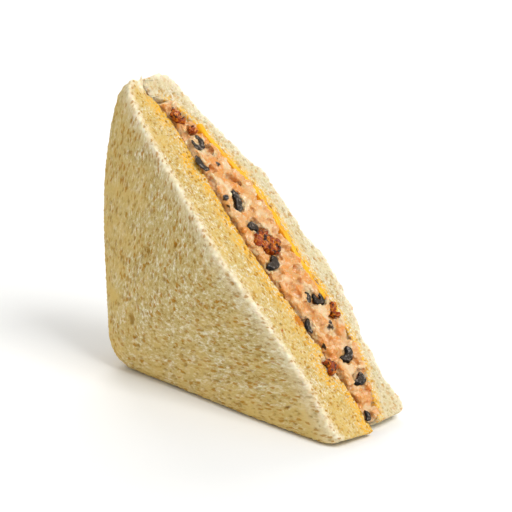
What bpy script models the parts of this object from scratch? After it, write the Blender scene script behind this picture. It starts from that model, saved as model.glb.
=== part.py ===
"""Half of a crustless white-bread sandwich, standing on one short side.

The square sandwich was cut along its diagonal. The cut face leans up and to the right (+X, +Z), the
front slice is at -Y and the back slice at +Y. Between them lie ham salad and a thin slice of cheese,
and pieces of black olive and fried bacon show in the ham salad on the cut face.
Units are metres, +Z is up, and the origin is the middle of the box's floor.
"""

import math
import random

import bmesh
import bpy
from mathutils import Matrix, Vector, noise

MM = 0.001

# Driving dimensions of one slice
SIDE = 100 * MM  # side of the square slice, before the diagonal cut
CORNER = 11 * MM  # radius of the slice's rounded corners
SHARP_TIP = 6 * MM  # radius at the bottom tip on the front slice's inner edge and in the filling
BOW = 6.5 * MM  # how far the upright side bulges out, most of all a little above its middle
SOFT_EDGE = 9 * MM  # width over which the outer face rounds down to a short side
SOFT_DROP = 6 * MM  # how far the outer face drops at the upright side
TIP_DROP_SHARE = 0.45  # share of that drop that is left at the bottom tip
NOTCH = 2.2 * MM  # how far the slices' inner edges sink at the top tip

# Layers at the short sides, where the slices were pressed together
LEG_MIDDLE = -1.0 * MM
LEG_FILLING = 3.4 * MM
LEG_FRONT_SLICE = 10.0 * MM
LEG_BACK_SLICE = 10.5 * MM
PILLOW_REACH = 0.75  # share of the way to the cut over which the sandwich swells

# Layers along the cut, from the top tip to the bottom tip. A station is 0 at the middle of the cut
# and -1 and 1 at the sharp corners that the rounded tips stop short of. Then, in millimetres: the
# middle of the filling, its thickness, the front slice's and the back slice's thickness.
CUT_STATIONS = (
    (-0.94, -1.25, 1.9, 9.5, 11.6),
    (-0.70, 5.2, 9.2, 13.9, 8.2),
    (-0.40, 8.4, 16.9, 14.4, 9.4),
    (-0.28, 9.35, 19.7, 14.7, 9.4),
    (-0.10, 9.25, 21.3, 15.0, 7.7),
    (0.15, 9.0, 19.0, 15.0, 12.2),
    (0.45, 10.9, 17.0, 15.8, 6.8),
    (0.70, 9.6, 13.0, 16.0, 7.3),
    (0.94, 5.6, 4.8, 18.5, 16.6),
)

# Clearances
GAP = 0.35 * MM  # kept round the olive and bacon pieces and the cheese
SLICE_GAP = 0.8 * MM  # kept from the slices, because the facets of two layers don't line up
TOP_STOP = 5 * MM  # how far down the cut from the slices' top tip the filling ends
CORE_INSET = 2.6 * MM  # the ham salad's core stops this far inside the short sides
SALAD_INSET = 0.9 * MM  # and its ham pieces this far
CORE_SUNK = 0.7 * MM  # the core's face lies this far inside the cut
PROUD = 1.7 * MM  # how far the ham pieces may stand out of the cut
POCKET_OPENING = 3 * MM  # how far an olive or bacon piece's pocket opens out of the cut
PIECE_BITE = 4 * MM  # how far an olive or bacon piece may press into the front slice's edge

# Cheese
CHEESE = 1.9 * MM
CHEESE_INSET = 10.5 * MM
CHEESE_END = 0.34  # station on the cut where the cheese slice stops
CHEESE_END_TILT = -20  # degrees that its end leans

# Resolution of the grid that the layers share, and relief of the crumb
CELLS = 20
WALL_CUTS = 3
CRUMB_RELIEF = 0.35 * MM
TORN_RELIEF = 1.1 * MM
CRUMB_PITCH = 7 * MM

# Ham pieces
HAM_SEED = 46
HAM_STEP = 4.9 * MM
HAM_SIZE = (2.9 * MM, 5.2 * MM)
LEG_HAM_STEP = 7.5 * MM

OLIVE_SECTION = (1.25, 0.85)  # the flesh's section, across and along the ring's axis
OLIVE_TAPER = 0.45  # share by which a piece thins towards its ends

# Olive pieces on the cut: station, distance from the front (mm), ring radius, half width of the flesh,
# arc in degrees, then turns in degrees about the cut's own axes (down the cut, across, out of it)
OLIVES = (
    (-0.545, 4.4, 2.1, 1.15, 290, 0, 0, 20),
    (-0.453, 1.2, 4.2, 1.25, 100, 10, 0, -75),
    (-0.243, 3.4, 6.2, 1.35, 85, 0, 10, 65),
    (-0.090, 4.6, 2.2, 1.30, 150, 20, 0, 150),
    (0.090, 3.4, 2.4, 1.45, 170, 0, -15, 30),
    (0.296, 9.2, 1.7, 0.95, 150, 10, 0, 60),
    (0.330, 14.0, 1.7, 0.95, 300, 0, 0, 0),
    (0.421, 3.7, 3.4, 0.95, 95, 0, 10, -110),
    (0.606, 11.2, 2.1, 1.30, 200, 10, 0, 30),
    (0.722, 10.0, 2.4, 1.30, 150, 0, -15, 25),
    (0.888, 3.8, 1.6, 0.90, 160, 0, 0, 60),
)

# Bacon pieces on the cut: station, distance from the front (mm), length, width, thickness (mm),
# then the turn in the cut face and the lift out of it in degrees
BACON = (
    (-0.715, 1.6, 8.2, 2.8, 1.8, 32, 8),
    (-0.625, 5.6, 5.0, 2.3, 1.6, 78, -8),
    (-0.006, 6.4, 9.6, 7.0, 2.4, 62, 6),
    (0.392, 17.0, 5.6, 2.7, 1.8, -20, 8),
    (0.622, 0.8, 5.4, 3.2, 2.2, -5, 0),
)

# Crumbs of olive and bacon, too small to be pieces of their own: station, distance from the front
# and size (mm)
SMALL_BITS = (
    (-0.80, 0.8, 1.3),
    (-0.43, 6.5, 1.4),
    (-0.266, 0.9, 1.6),
    (-0.226, -0.9, 1.6),
    (0.205, 0.2, 1.3),
    (0.452, 11.9, 2.3),
    (0.53, 3.2, 1.6),
)

# Torn flake of crumb that stands up at the top tip
FLAKE_LENGTH = 4.6 * MM
FLAKE_WIDTH = 1.7 * MM

CRUMB_COLOUR = (0.80, 0.66, 0.34, 1.0)
HAM_COLOUR = (0.83, 0.45, 0.27, 1.0)
CHEESE_COLOUR = (0.92, 0.58, 0.04, 1.0)
OLIVE_COLOUR = (0.030, 0.022, 0.020, 1.0)
BACON_COLOUR = (0.32, 0.055, 0.015, 1.0)

CUT_NORMAL = Vector((1, 0, 1)).normalized()
DOWN_THE_CUT = Vector((1, 0, -1)).normalized()
ACROSS = Vector((0, 1, 0))


def smooth(value):
    """0 below 0, 1 above 1, and an S-curve between."""
    value = min(max(value, 0.0), 1.0)
    return value * value * (3 - 2 * value)


def slope(index, column):
    """How steeply a column of CUT_STATIONS runs at one of its rows."""
    before = CUT_STATIONS[max(index - 1, 0)]
    after = CUT_STATIONS[min(index + 1, len(CUT_STATIONS) - 1)]
    return (after[column] - before[column]) / (after[0] - before[0])


def at_station(station, column):
    """One column of CUT_STATIONS at any station, in metres, on a smooth curve through its rows."""
    rows = CUT_STATIONS
    station = min(max(station, rows[0][0]), rows[-1][0])
    index = max(i for i, row in enumerate(rows[:-1]) if row[0] <= station)
    low, high = rows[index], rows[index + 1]
    span = high[0] - low[0]
    t = (station - low[0]) / span
    straight = low[column] + (high[column] - low[column]) * smooth(t)
    leaving = t * (1 - t) ** 2 * span * slope(index, column)
    arriving = t * t * (t - 1) * span * slope(index + 1, column)
    return (straight + leaving + arriving) * MM


def layers(x, z):
    """Y at (x, z) of the front slice's outer and inner face, then the back slice's inner and outer."""
    u, w = max(x / SIDE, 0.0), max(z / SIDE, 0.0)
    reach = u + w
    station = (u - w) / reach if reach > 0 else 0.0
    swell = smooth(reach / PILLOW_REACH)
    legs = (LEG_MIDDLE, LEG_FILLING, LEG_FRONT_SLICE, LEG_BACK_SLICE)
    middle, filling, front, back = (
        leg + (at_station(station, column) - leg) * swell
        for column, leg in enumerate(legs, start=1)
    )
    inner_front = middle - filling / 2
    inner_back = middle + filling / 2
    return inner_front - front, inner_front, inner_back, inner_back + back


def outline(u, w, tip):
    """(x, z, inset) of a grid point: the corners are rounded, the bottom tip by the radius tip, the
    upright side bows, and inset is how far the point lies inside the short sides."""
    x, z = u * SIDE, w * SIDE
    inset = min(x, z)
    for near_x, near_z, radius in ((False, False, CORNER), (False, True, CORNER), (True, False, tip)):
        a = radius - (SIDE - x if near_x else x)
        b = radius - (SIDE - z if near_z else z)
        if a < 0 or b < 0 or (a == 0 and b == 0):
            continue
        longest, length = max(a, b), math.hypot(a, b)
        a, b = a * longest / length, b * longest / length
        inset = radius - longest
        x = SIDE - radius + a if near_x else radius - a
        z = SIDE - radius + b if near_z else radius - b
        break
    return x - BOW * math.sin(math.pi * w**1.4) * (1 - u) ** 3, z, inset


def shoulder(inset, u):
    """How far an outer face has dropped where it is this near a short side."""
    across = 1 - min(inset / SOFT_EDGE, 1)
    drop = SOFT_DROP * (1 - (1 - TIP_DROP_SHARE) * smooth(u))
    return drop * (1 - math.sqrt(1 - across * across))


def half_square_slab():
    """A closed slab over the half square: x and y run from 0 to 1 and are u and w, and z from 0 to 1
    runs through the layer. The grid is finest at the sides and tips."""
    bm = bmesh.new()
    bmesh.ops.create_grid(bm, x_segments=CELLS, y_segments=CELLS, size=0.5)
    for vert in bm.verts:
        for axis in (0, 1):
            line = round((vert.co[axis] + 0.5) * CELLS)
            vert.co[axis] = (1 - math.cos(math.pi * line / CELLS)) / 2
    everything = bm.verts[:] + bm.edges[:] + bm.faces[:]
    bmesh.ops.bisect_plane(
        bm, geom=everything, dist=1e-5, plane_co=(0.5, 0.5, 0), plane_no=(1, 1, 0), clear_outer=True
    )
    made = bmesh.ops.extrude_face_region(bm, geom=bm.faces[:])["geom"]
    raised = [item for item in made if isinstance(item, bmesh.types.BMVert)]
    bmesh.ops.translate(bm, verts=raised, vec=(0, 0, 1))
    upright = [e for e in bm.edges if abs(e.verts[0].co.z - e.verts[1].co.z) > 0.5]
    bmesh.ops.subdivide_edges(bm, edges=upright, cuts=WALL_CUTS, use_grid_fill=True)
    return bm


def new_object(name, bm, colour, roughness, collection):
    """An object of the finished bmesh in triangles, with its own material."""
    bmesh.ops.triangulate(bm, faces=bm.faces, quad_method="FIXED")
    bmesh.ops.recalc_face_normals(bm, faces=bm.faces)
    if bm.calc_volume(signed=True) < 0:
        bmesh.ops.reverse_faces(bm, faces=bm.faces)
    mesh = bpy.data.meshes.new(name)
    bm.to_mesh(mesh)
    bm.free()
    obj = bpy.data.objects.new(name, mesh)
    collection.objects.link(obj)
    material = bpy.data.materials.new(name)
    material.use_nodes = True
    shader = material.node_tree.nodes["Principled BSDF"]
    shader.inputs["Base Color"].default_value = colour
    shader.inputs["Roughness"].default_value = roughness
    mesh.materials.append(material)
    return obj


def relief(point, pitch, seed):
    """Smooth noise from about -1 to 1 at a point, for bumps of this pitch."""
    return noise.noise(point / pitch + Vector((seed, 2 * seed, 3 * seed)))


def make_slice(name, is_back, collection):
    """One slice of bread: a soft rounded outer face, a torn edge at the cut and a flat sole."""
    bm = half_square_slab()
    outward = 1 if is_back else -1
    seed = 7.3 if is_back else 1.7
    for vert in bm.verts:
        u, w, depth = vert.co
        tip = CORNER if is_back else CORNER + (SHARP_TIP - CORNER) * depth
        x, z, inset = outline(u, w, tip)
        z -= NOTCH * depth * smooth((w - 0.86) / 0.1)
        faces = layers(x, z)
        outer = faces[3] if is_back else faces[0]
        inner = faces[2] if is_back else faces[1]
        outer -= outward * shoulder(inset, u)
        y = outer + (inner - outer) * depth
        point = Vector((x, y, z))
        to_cut = 1 - (u + w)
        if depth < 0.99:
            free = smooth(inset / SOFT_EDGE)
            bump = CRUMB_RELIEF * relief(point, CRUMB_PITCH, seed) * free
            torn = TORN_RELIEF * relief(point, CRUMB_PITCH, seed + 5) * smooth(1 - to_cut / 0.04)
            point.y += outward * (bump + torn * (1 - depth) * free)
            if to_cut < 1e-4:
                point += CUT_NORMAL * torn * 0.5 * free
        vert.co = point
    return new_object(name, bm, CRUMB_COLOUR, 0.9, collection)


def flatten_sole(obj):
    """Presses anything that relief pushed under the base back up to it."""
    for vert in obj.data.vertices:
        vert.co.z = max(vert.co.z, 0.0)


def inset_outline(u, w, inset):
    """(x, z) of a grid point whose short sides and corners are drawn in by the inset, and the top tip
    by TOP_STOP along the cut."""
    x, z, _ = outline(u, w, SHARP_TIP)
    shrink = 1 - 2 * inset / SIDE
    slip = TOP_STOP * smooth((w - 0.76) / 0.24)
    return SIDE / 2 + (x - SIDE / 2) * shrink + slip, SIDE / 2 + (z - SIDE / 2) * shrink - slip


def make_layer(name, front, back, inset, reach_out, colour, collection):
    """A closed slab between the slices. front and back give its two faces' y at (x, z), inset draws
    in the short sides, and its face at the cut stands reach_out proud."""
    bm = half_square_slab()
    for vert in bm.verts:
        u, w, depth = vert.co
        x, z = inset_outline(u, w, inset)
        low, high = front(x, z), back(x, z)
        point = Vector((x, low + (high - low) * depth, z))
        vert.co = point + CUT_NORMAL * reach_out * smooth(1 - (1 - u - w) / 0.04)
    return new_object(name, bm, colour, 0.35, collection)


def front_inside(x, z):
    """Y of the front slice's inner face."""
    return layers(x, z)[1]


def back_inside(x, z):
    """Y of the back slice's inner face."""
    return layers(x, z)[2]


def make_cheese(name, grow, collection, cutters):
    """The cheese slice: it hugs the back slice, and stops short of the bottom tip. grow makes it that
    much larger, for its pocket, and then its back reaches into the bread."""
    back_gap = -GAP if grow else SLICE_GAP
    cheese = make_layer(
        name,
        lambda x, z: back_inside(x, z) - SLICE_GAP - CHEESE - grow,
        lambda x, z: back_inside(x, z) - back_gap,
        CHEESE_INSET - grow,
        PROUD * 0.4 + 3 * grow,
        CHEESE_COLOUR,
        collection,
    )
    bm = bmesh.new()
    bmesh.ops.create_cube(bm, size=1.2 * SIDE)
    end = point_on_cut(CHEESE_END, 0, 0)
    turn = Matrix.Rotation(math.radians(CHEESE_END_TILT), 4, "Y")
    shift = Matrix.Translation((0.6 * SIDE + grow, 0, 0))
    bmesh.ops.transform(bm, verts=bm.verts, matrix=Matrix.Translation(end) @ turn @ shift)
    cutter = new_object(f"{name}_end_cutter", bm, CHEESE_COLOUR, 0.4, cutters)
    add_boolean(cheese, "DIFFERENCE", cutter)
    return cheese


def point_on_cut(station, across, out):
    """A point of the cut face: station along it, across from y = 0, out of it."""
    share = (1 + station) / 2
    return Vector((share * SIDE, across, (1 - share) * SIDE)) + CUT_NORMAL * out


def cut_frame(station, across, out):
    """The matrix that stands a piece on the cut: its X runs down the cut, Y across and Z out of it."""
    turn = Matrix((DOWN_THE_CUT, ACROSS, CUT_NORMAL)).transposed().to_4x4()
    if turn.determinant() < 0:
        turn = turn @ Matrix.Scale(-1, 4, (1, 0, 0))
    return Matrix.Translation(point_on_cut(station, across, out)) @ turn


def turns(*degrees):
    """Turns about X, then Y, then Z."""
    matrix = Matrix.Identity(4)
    for axis, angle in zip("XYZ", degrees):
        matrix = Matrix.Rotation(math.radians(angle), 4, axis) @ matrix
    return matrix


def place_piece(bm, upper, matrix, grow):
    """Moves a piece to its place on the cut. A pocket also opens outwards, so that no ham covers it:
    its upper points move on."""
    bmesh.ops.transform(bm, verts=bm.verts, matrix=matrix)
    if grow:
        bmesh.ops.translate(bm, verts=upper, vec=CUT_NORMAL * POCKET_OPENING)


def make_olive(name, row, grow, collection):
    """An arc of a chopped black olive ring, thinner at its ends. grow makes it that much fatter, for
    its pocket."""
    station, across, ring, flesh, arc, *angles = row
    ring, half = ring * MM, flesh * MM
    bm = bmesh.new()
    section = bmesh.ops.create_circle(bm, cap_ends=True, segments=6, radius=half + grow)["verts"]
    flat = Matrix.Rotation(math.pi / 2, 3, "X") @ Matrix.Diagonal((*OLIVE_SECTION, 1))
    flat = flat @ Matrix.Rotation(math.pi / 6, 3, "Z")
    bmesh.ops.transform(bm, verts=section, matrix=Matrix.Translation((ring, 0, 0)) @ flat.to_4x4())
    sweep = math.radians(arc)
    full = sweep + 2 * math.atan2(grow, ring)
    bmesh.ops.rotate(bm, verts=section, cent=(0, 0, 0), matrix=Matrix.Rotation(-full / 2, 3, "Z"))
    bmesh.ops.spin(
        bm, geom=bm.faces[:] + bm.edges[:] + bm.verts[:], cent=(0, 0, 0), axis=(0, 0, 1),
        angle=full, steps=max(4, round(arc / 32)), use_merge=False, use_normal_flip=False,
        use_duplicate=False,
    )
    for vert in bm.verts:
        end = min(abs(math.atan2(vert.co.y, vert.co.x)) / (sweep / 2), 1)
        share = (half * (1 - OLIVE_TAPER * end**3) + grow) / (half + grow)
        middle = vert.co.xy.normalized() * ring
        vert.co = (*middle.lerp(vert.co.xy, share), vert.co.z * share)
    bmesh.ops.translate(bm, verts=bm.verts, vec=(-0.6 * ring, 0, 0))
    upper = [vert for vert in bm.verts if vert.co.z > 0.2 * half]
    place_piece(bm, upper, cut_frame(station, across * MM, 0.3 * half) @ turns(*angles), grow)
    return new_object(name, bm, OLIVE_COLOUR, 0.25, collection)


def make_bacon(name, row, grow, collection):
    """A curled scrap of fried bacon. grow makes it that much fatter, for its pocket."""
    station, across, length, width, thickness, turn, lift = row
    bm = bmesh.new()
    bmesh.ops.create_grid(bm, x_segments=5, y_segments=3, size=0.5)
    made = bmesh.ops.extrude_face_region(bm, geom=bm.faces[:])["geom"]
    bmesh.ops.translate(bm, verts=[v for v in made if isinstance(v, bmesh.types.BMVert)], vec=(0, 0, 1))
    upper = [vert for vert in bm.verts if vert.co.z > 0.5]
    seed = 10 + station * 17
    size = Vector((length * MM + 2 * grow, width * MM + 2 * grow, thickness * MM + 2 * grow))
    for vert in bm.verts:
        along, side, layer = vert.co.x, vert.co.y, vert.co.z - 0.5
        ragged = 1 + 0.3 * noise.noise(Vector((along * 3 + seed, side * 3, 0)))
        round_end = math.sqrt(max(0.0, 1.15 - (2 * along) ** 2 * 0.8))
        curl = thickness * MM * 0.6 * math.sin(along * 7 + seed)
        vert.co = Vector((along * size.x, side * size.y * round_end * ragged, layer * size.z + curl))
    out = 0.2 * thickness * MM
    place_piece(bm, upper, cut_frame(station, across * MM, out) @ turns(0, lift, turn), grow)
    return new_object(name, bm, BACON_COLOUR, 0.35, collection)


def add_ham_piece(bm, centre, size, draw):
    """One diced piece of ham: a cube whose corners are knocked about, at any angle."""
    cube = bmesh.ops.create_cube(bm, size=1)["verts"]
    for vert in cube:
        vert.co *= draw.uniform(0.82, 1.12)
    stretch = Vector([size * draw.uniform(0.7, 1.25) for _ in range(3)])
    bmesh.ops.scale(bm, verts=cube, vec=stretch)
    matrix = Matrix.Translation(centre) @ turns(*[draw.uniform(0, 90) for _ in range(3)])
    bmesh.ops.transform(bm, verts=cube, matrix=matrix)


def ham_centres(draw):
    """(centre, size) of each ham piece, spread over the cut face and along the two short sides."""
    length = math.sqrt(2) * SIDE
    steps = int(length / HAM_STEP)
    for row in range(steps):
        station = -0.86 + 1.77 * (row + 0.5) / steps
        x, _, z = point_on_cut(station, 0, 0)
        low, high = front_inside(x, z), back_inside(x, z) - CHEESE * (station < CHEESE_END)
        columns = max(1, round((high - low) / HAM_STEP))
        for column in range(columns):
            size = min(draw.uniform(*HAM_SIZE), (high - low) * 0.85)
            share = (column + 0.5 + draw.uniform(-0.25, 0.25)) / columns
            slip = draw.uniform(-0.3, 0.3) * HAM_STEP * 2 / length
            out = draw.uniform(-0.35, 0.12) * size
            yield point_on_cut(station + slip, low + (high - low) * share, out), size
    for side in (0, 1):
        for row in range(int(0.78 * SIDE / LEG_HAM_STEP)):
            share = 0.12 + row * LEG_HAM_STEP / SIDE
            u, w = (share, 0.02) if side else (0.02, share)
            x, z = inset_outline(u, w, CORE_INSET)
            low, high = front_inside(x, z), back_inside(x, z)
            size = (high - low) * draw.uniform(0.7, 1.0)
            yield Vector((x, (low + high) / 2, z)), size


def add_boolean(obj, operation, operand, solver="EXACT"):
    """A Boolean modifier with an object or a collection as its operand."""
    modifier = obj.modifiers.new(operation.title(), "BOOLEAN")
    modifier.operation = operation
    modifier.solver = solver
    if isinstance(operand, bpy.types.Collection):
        modifier.operand_type = "COLLECTION"
        modifier.collection = operand
    else:
        modifier.object = operand
    return modifier


def apply_modifiers(obj):
    """Makes the evaluated shape the object's own mesh."""
    graph = bpy.context.evaluated_depsgraph_get()
    mesh = bpy.data.meshes.new_from_object(obj.evaluated_get(graph))
    obj.modifiers.clear()
    obj.data = mesh


def empty_collection(collection):
    """Removes a collection and its objects."""
    for obj in list(collection.objects):
        bpy.data.objects.remove(obj)
    bpy.data.collections.remove(collection)


def new_collection(name):
    """A collection linked to the scene."""
    collection = bpy.data.collections.new(name)
    bpy.context.scene.collection.children.link(collection)
    return collection


def make_pockets():
    """The space that each olive and bacon piece needs, in a collection of its own."""
    pockets = new_collection("pockets")
    for number, row in enumerate(OLIVES):
        make_olive(f"olive_pocket_{number}", row, GAP, pockets)
    for number, row in enumerate(BACON):
        make_bacon(f"bacon_pocket_{number}", row, GAP, pockets)
    return pockets


def make_ham_salad(parts, cutters, pockets):
    """The core with the ham pieces fused on, kept inside the space between its neighbours and cut
    round the cheese, the olive and the bacon pieces."""
    salad = make_layer(
        "ham_salad",
        lambda x, z: front_inside(x, z) - GAP,
        lambda x, z: back_inside(x, z) + GAP,
        CORE_INSET,
        -CORE_SUNK,
        HAM_COLOUR,
        parts,
    )
    pieces = new_collection("ham_pieces")
    draw = random.Random(HAM_SEED)
    for number, (centre, size) in enumerate(ham_centres(draw)):
        bm = bmesh.new()
        add_ham_piece(bm, centre, size, draw)
        new_object(f"ham_{number}", bm, HAM_COLOUR, 0.35, pieces)
    for number, (station, across, size) in enumerate(SMALL_BITS):
        bm = bmesh.new()
        add_ham_piece(bm, point_on_cut(station, across * MM, 0.3 * MM), size * MM, draw)
        new_object(f"bit_{number}", bm, OLIVE_COLOUR, 0.3, pieces)
    add_boolean(salad, "UNION", pieces)
    apply_modifiers(salad)
    empty_collection(pieces)
    space = make_layer(
        "salad_space_cutter",
        lambda x, z: front_inside(x, z) + SLICE_GAP,
        lambda x, z: back_inside(x, z) - SLICE_GAP,
        SALAD_INSET,
        PROUD,
        HAM_COLOUR,
        cutters,
    )
    cheese_pocket = make_cheese("cheese_pocket", GAP, cutters, cutters)
    add_boolean(salad, "INTERSECT", space)
    add_boolean(salad, "DIFFERENCE", cheese_pocket)
    add_boolean(salad, "DIFFERENCE", pockets)
    apply_modifiers(salad)
    keep_largest_body(salad)
    return salad, cheese_pocket


def keep_largest_body(obj):
    """Drops the loose scraps that the cuts leave."""
    bm = bmesh.new()
    bm.from_mesh(obj.data)
    seen, bodies = set(), []
    for start in bm.verts:
        if start in seen:
            continue
        body, queue = [], [start]
        seen.add(start)
        while queue:
            vert = queue.pop()
            body.append(vert)
            for edge in vert.link_edges:
                other = edge.other_vert(vert)
                if other not in seen:
                    seen.add(other)
                    queue.append(other)
        bodies.append(body)
    bodies.sort(key=len)
    for body in bodies[:-1]:
        bmesh.ops.delete(bm, geom=body, context="VERTS")
    bm.to_mesh(obj.data)
    bm.free()


def make_flake(collection):
    """A torn flake of crumb, bent over at its end, that stands up at the top tip."""
    bm = bmesh.new()
    cone = bmesh.ops.create_cone(
        bm, cap_ends=True, segments=6, radius1=FLAKE_WIDTH, radius2=FLAKE_WIDTH * 0.35, depth=FLAKE_LENGTH
    )["verts"]
    bmesh.ops.scale(bm, verts=cone, vec=(1, 0.55, 1))
    inner_front = front_inside(0.05 * SIDE, 0.95 * SIDE)
    foot = point_on_cut(-0.91, inner_front - 1.6 * MM, -1.4 * MM)
    matrix = Matrix.Translation(foot + Vector((0, 0, FLAKE_LENGTH * 0.3))) @ turns(8, 6, 20)
    bmesh.ops.transform(bm, verts=cone, matrix=matrix)
    return new_object("flake", bm, CRUMB_COLOUR, 0.9, collection)


def stand_on_origin(parts, cutters):
    """Hangs everything on an empty that puts the middle of the parts' box floor at the origin."""
    graph = bpy.context.evaluated_depsgraph_get()
    corners = [
        Vector(corner) for obj in parts.objects for corner in obj.evaluated_get(graph).bound_box
    ]
    low = [min(corner[axis] for corner in corners) for axis in range(3)]
    high = [max(corner[axis] for corner in corners) for axis in range(3)]
    sandwich = bpy.data.objects.new("sandwich", None)
    bpy.context.scene.collection.objects.link(sandwich)
    sandwich.location = (-(low[0] + high[0]) / 2, -(low[1] + high[1]) / 2, -low[2])
    for obj in (*parts.objects, *cutters.objects):
        obj.parent = sandwich


def main():
    """Builds every piece."""
    for obj in list(bpy.data.objects):
        bpy.data.objects.remove(obj)
    parts = new_collection("ham_sandwich")
    cutters = new_collection("cutters")

    pockets = make_pockets()
    front = make_slice("bread_front", False, parts)
    make_flake(cutters)
    add_boolean(front, "UNION", cutters.objects["flake"])
    add_boolean(front, "DIFFERENCE", pockets)
    apply_modifiers(front)
    flatten_sole(front)
    back = make_slice("bread_back", True, parts)
    flatten_sole(back)

    make_cheese("cheese_slice", 0.0, parts, cutters)
    salad, cheese_pocket = make_ham_salad(parts, cutters, pockets)
    flatten_sole(salad)
    empty_collection(pockets)
    reach = make_layer(
        "piece_reach_cutter",
        lambda x, z: front_inside(x, z) - PIECE_BITE,
        lambda x, z: back_inside(x, z) - SLICE_GAP,
        SALAD_INSET,
        PROUD,
        HAM_COLOUR,
        cutters,
    )
    pieces = [make_olive(f"olive_{i:02d}", row, 0.0, parts) for i, row in enumerate(OLIVES, 1)]
    pieces += [make_bacon(f"bacon_{i}", row, 0.0, parts) for i, row in enumerate(BACON, 1)]
    for piece in pieces:
        add_boolean(piece, "INTERSECT", reach)
        add_boolean(piece, "DIFFERENCE", cheese_pocket)
        apply_modifiers(piece)
        keep_largest_body(piece)

    for cutter in cutters.objects:
        cutter.hide_render = True
        cutter.display_type = "WIRE"
    for obj in parts.objects:
        obj.data.shade_smooth()
    stand_on_origin(parts, cutters)


main()
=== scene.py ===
"""Looks of a crustless ham salad sandwich half that stands on one short side.

Each piece starts from a merged copy of its solid, so it keeps that form and place. A voxel skin
gives it even, small faces, and its real relief is pressed into them: the open cells of the crumb,
the lumps of diced ham, the cut flesh of the olives. Points carry attributes that the finishes
paint by. Units are metres, +Z is up and the sandwich faces -Y.
"""

import logging
import math
from dataclasses import dataclass, field
from enum import Enum
from typing import Any, Callable

import bmesh
import bpy
from mathutils import Matrix, Vector, noise
from mathutils.bvhtree import BVHTree

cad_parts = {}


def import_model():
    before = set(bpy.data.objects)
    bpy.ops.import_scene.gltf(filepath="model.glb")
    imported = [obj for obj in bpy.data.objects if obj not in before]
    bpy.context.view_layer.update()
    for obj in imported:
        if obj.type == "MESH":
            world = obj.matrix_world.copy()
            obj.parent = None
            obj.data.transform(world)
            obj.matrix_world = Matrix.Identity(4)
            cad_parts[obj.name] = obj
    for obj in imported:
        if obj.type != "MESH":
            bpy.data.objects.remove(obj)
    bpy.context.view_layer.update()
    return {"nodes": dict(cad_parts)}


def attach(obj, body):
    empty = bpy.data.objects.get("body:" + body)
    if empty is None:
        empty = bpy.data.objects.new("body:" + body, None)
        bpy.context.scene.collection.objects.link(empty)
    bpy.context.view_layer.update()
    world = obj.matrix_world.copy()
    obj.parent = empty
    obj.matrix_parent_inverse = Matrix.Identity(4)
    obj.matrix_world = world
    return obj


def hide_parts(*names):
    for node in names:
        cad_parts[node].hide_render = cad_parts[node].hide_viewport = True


LOG = logging.getLogger("sandwich")

MM = 0.001
SIDE = 100 * MM
SQUARE_CORNER = Vector((-45.892, -6.935, 0.0)) * MM  # where the slices' square corner stands
CUT_NORMAL = Vector((1, 0, 1)).normalized()
DOWN_THE_CUT = Vector((1, 0, -1)).normalized()
ACROSS = Vector((0, 1, 0))
NOISE_SEED = 5  # noise vectors would follow the clock without it

# Faces between two layers don't show further in than this, and most of them are left out
HIDDEN_MARGIN = 4 * MM
HIDDEN_FACING = 0.6
HIDDEN_LEFT_OUT = 0.97

Colour = tuple[float, float, float, float]


# Small shared tools


def linear(hex_colour: str) -> Colour:
    """Turns an sRGB hex colour into the linear colour that the shaders take.

    Args:
        hex_colour: six hex digits.

    Returns:
        The colour as linear red, green, blue and alpha.
    """
    shares = (int(hex_colour[i : i + 2], 16) / 255 for i in (0, 2, 4))
    red, green, blue = (
        share / 12.92 if share <= 0.04045 else ((share + 0.055) / 1.055) ** 2.4 for share in shares
    )
    return red, green, blue, 1.0


def smooth(value: float) -> float:
    """Gives 0 below 0, 1 above 1, and an S-curve between."""
    value = min(max(value, 0.0), 1.0)
    return value * value * (3 - 2 * value)


def lump(point: Vector, pitch: float, seed: float) -> float:
    """Gives smooth noise from about -1 to 1, for bumps of this pitch.

    Args:
        point: where, in metres.
        pitch: distance between bumps, in metres.
        seed: shifts the pattern.

    Returns:
        The height of the noise.
    """
    return noise.noise(point / pitch + Vector((seed, 2.3 * seed, 3.1 * seed)))


def in_slice(point: Vector) -> tuple[float, float, float]:
    """Gives a point's distances from the upright side, the sole and the cut, in metres."""
    x, z = point.x - SQUARE_CORNER.x, point.z
    return x, z, (SIDE - x - z) / math.sqrt(2)


def point_on_cut(station: float, across: float, out: float) -> Vector:
    """Gives a point of the cut face.

    Args:
        station: place along the cut, from -1 at the top tip to 1 at the bottom tip.
        across: distance behind the top tip's front edge line, in metres.
        out: distance out of the face, in metres.

    Returns:
        The point.
    """
    share = (1 + station) / 2
    return SQUARE_CORNER + Vector((share * SIDE, across, (1 - share) * SIDE)) + CUT_NORMAL * out


def turned(*degrees: float) -> Matrix:
    """Gives the matrix that turns about X, then Y, then Z.

    Args:
        degrees: the three angles.

    Returns:
        The matrix.
    """
    matrix = Matrix.Identity(4)
    for axis, angle in zip("XYZ", degrees):
        matrix = Matrix.Rotation(math.radians(angle), 4, axis) @ matrix
    return matrix


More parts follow.
